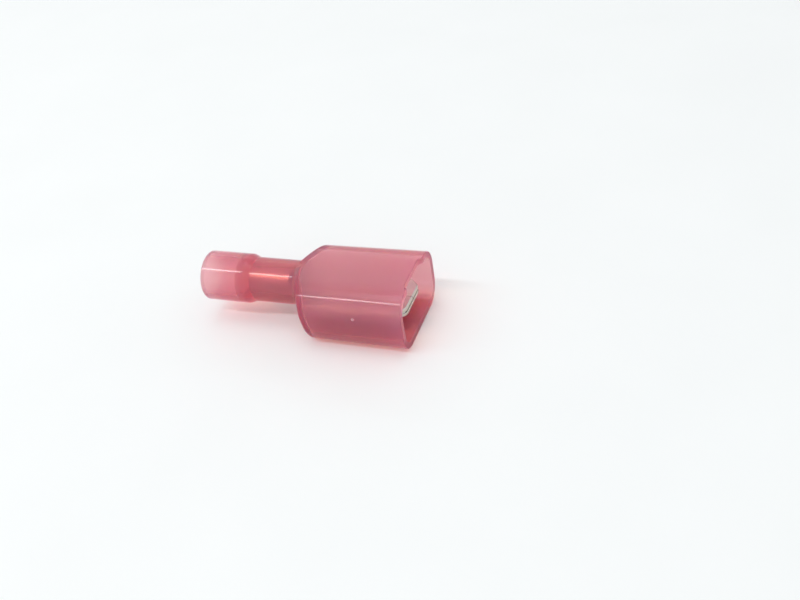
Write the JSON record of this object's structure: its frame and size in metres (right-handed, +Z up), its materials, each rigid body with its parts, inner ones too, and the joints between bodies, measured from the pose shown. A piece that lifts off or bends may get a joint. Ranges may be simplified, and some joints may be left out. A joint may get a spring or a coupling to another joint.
{
  "type": "insulated male blade terminal",
  "caption": "Crimp-on wire terminal: folded flat tab inside a flared translucent red nylon shroud, with a round neck and a wider wire entry.",
  "frame": {"origin": "middle of the flat underside's level, under the middle of the length and width", "axes": "+X along the barrel towards the mouth of the shroud, +Z up, away from the flat underside"},
  "size_m": [0.024, 0.011, 0.0069],
  "materials": {
    "nylon": "translucent red moulded nylon, glossy",
    "tinned_brass": "bright tin plating on brass sheet"
  },
  "bodies": {
    "root": {"housing": "nylon", "tab_terminal": "tinned_brass"}
  },
  "joints": []
}
